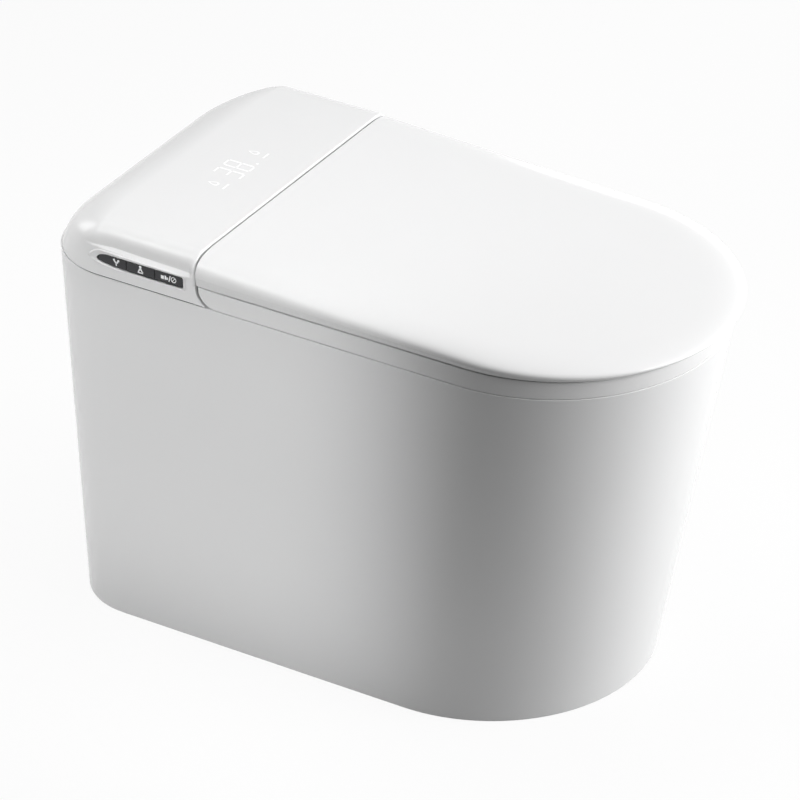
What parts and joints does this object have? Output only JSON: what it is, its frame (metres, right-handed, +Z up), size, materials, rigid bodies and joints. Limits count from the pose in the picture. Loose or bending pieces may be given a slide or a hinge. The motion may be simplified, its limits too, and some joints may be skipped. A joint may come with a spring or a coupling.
{
  "type": "smart toilet",
  "caption": "Skirted one-piece toilet with a wedge-shaped soft-close lid, heated seat, and a rear unit that washes, dries and flushes.",
  "frame": {"origin": "on the floor under the middle of the object", "axes": "+Z up, -Y towards the toilet's front, +X to the left hand of a seated person"},
  "size_m": [0.3584, 0.6709, 0.4415],
  "materials": {
    "glazed_china": "smooth white glaze",
    "white_gloss": "polished white",
    "white_satin": "satin white",
    "black_gloss": "gloss black with white signs",
    "grey_plastic": "moulded grey",
    "dark_plastic": "moulded dark grey",
    "milky_plastic": "milky",
    "soft_rubber": "soft grey",
    "steel": "brushed",
    "brass": "turned",
    "foil": "foil",
    "circuit_green": "solder mask"
  },
  "bodies": {
    "toilet": {"air_duct": "dark_plastic", "base_plate": "grey_plastic", "base_plate_screws": "steel", "button_carrier": "grey_plastic", "button_domes": "soft_rubber", "ceramic_body": "glazed_china", "ceramic_bowl": "glazed_china", "control_board": "circuit_green", "cord_gland": "dark_plastic", "display_board": "circuit_green", "display_mask": "grey_plastic", "drain_gasket": "soft_rubber", "fan_casing": "dark_plastic", "floor_brackets": "steel", "floor_screws": "steel", "flush_hose": "soft_rubber", "flush_pump": "dark_plastic", "flush_tank": "milky_plastic", "heater_pipe": "soft_rubber", "inlet_fitting": "brass", "inlet_valve": "brass", "left_hinge_pin": "steel", "left_hinge_post": "grey_plastic", "lid_damper": "dark_plastic", "nozzle_guide": "grey_plastic", "nozzle_motor": "steel", "power_supply": "dark_plastic", "rear_cover": "white_gloss", "right_hinge_pin": "steel", "right_hinge_post": "grey_plastic", "seat_damper": "dark_plastic", "trapway": "glazed_china", "water_heater": "milky_plastic"},
    "seat": {"seat_top": "white_gloss", "seat_base": "white_satin", "seat_heater": "foil", "seat_buffers": "soft_rubber"},
    "lid": {"lid_shell": "white_gloss", "lid_liner": "white_satin", "lid_buffers": "soft_rubber"},
    "flush_key": {"flush_button": "black_gloss"},
    "front_wash_key": {"front_wash_button": "black_gloss"},
    "rear_wash_key": {"rear_wash_button": "black_gloss"},
    "wand": {"nozzle_wand": "steel", "nozzle_tip": "steel"},
    "pinion": {"drive_pinion": "milky_plastic"},
    "impeller": {"fan_impeller": "grey_plastic"},
    "flap": {"dryer_flap": "milky_plastic"}
  },
  "joints": [
    {"name": "seat_hinge", "type": "hinge", "parent": "toilet", "child": "seat", "pos_m": [0, 0.12, 0.432], "axis": [-1, 0, 0], "range_deg": [0, 93]},
    {"name": "lid_hinge", "type": "hinge", "parent": "seat", "child": "lid", "pos_m": [0, 0.12, 0.432], "axis": [1, 0, 0], "range_deg": [-93, 0]},
    {"name": "flush_press", "type": "slide", "parent": "toilet", "child": "flush_key", "axis": [1, 0, 0], "range_m": [0, 0.001], "stiffness_N_per_m": 900},
    {"name": "front_wash_press", "type": "slide", "parent": "toilet", "child": "front_wash_key", "axis": [1, 0, 0], "range_m": [0, 0.001], "stiffness_N_per_m": 900},
    {"name": "rear_wash_press", "type": "slide", "parent": "toilet", "child": "rear_wash_key", "axis": [1, 0, 0], "range_m": [0, 0.001], "stiffness_N_per_m": 900},
    {"name": "wand_slide", "type": "slide", "parent": "toilet", "child": "wand", "axis": [0, -0.9703, -0.2419], "range_m": [0, 0.11]},
    {"name": "pinion_spin", "type": "hinge", "parent": "toilet", "child": "pinion", "pos_m": [0, 0.16368, 0.40595], "axis": [-1, 0, 0], "range_deg": [0, 826]},
    {"name": "impeller_spin", "type": "hinge", "parent": "toilet", "child": "impeller", "pos_m": [0.074, 0.19, 0.397], "axis": [0, 0, 1], "continuous": true},
    {"name": "flap_swing", "type": "hinge", "parent": "toilet", "child": "flap", "pos_m": [0.074, 0.0955, 0.3812], "axis": [-1, 0, 0], "range_deg": [0, 60]}
  ],
  "couplings": [
    {"joint": "pinion_spin", "follows": "wand_slide", "rad_per_m": 130.9}
  ]
}
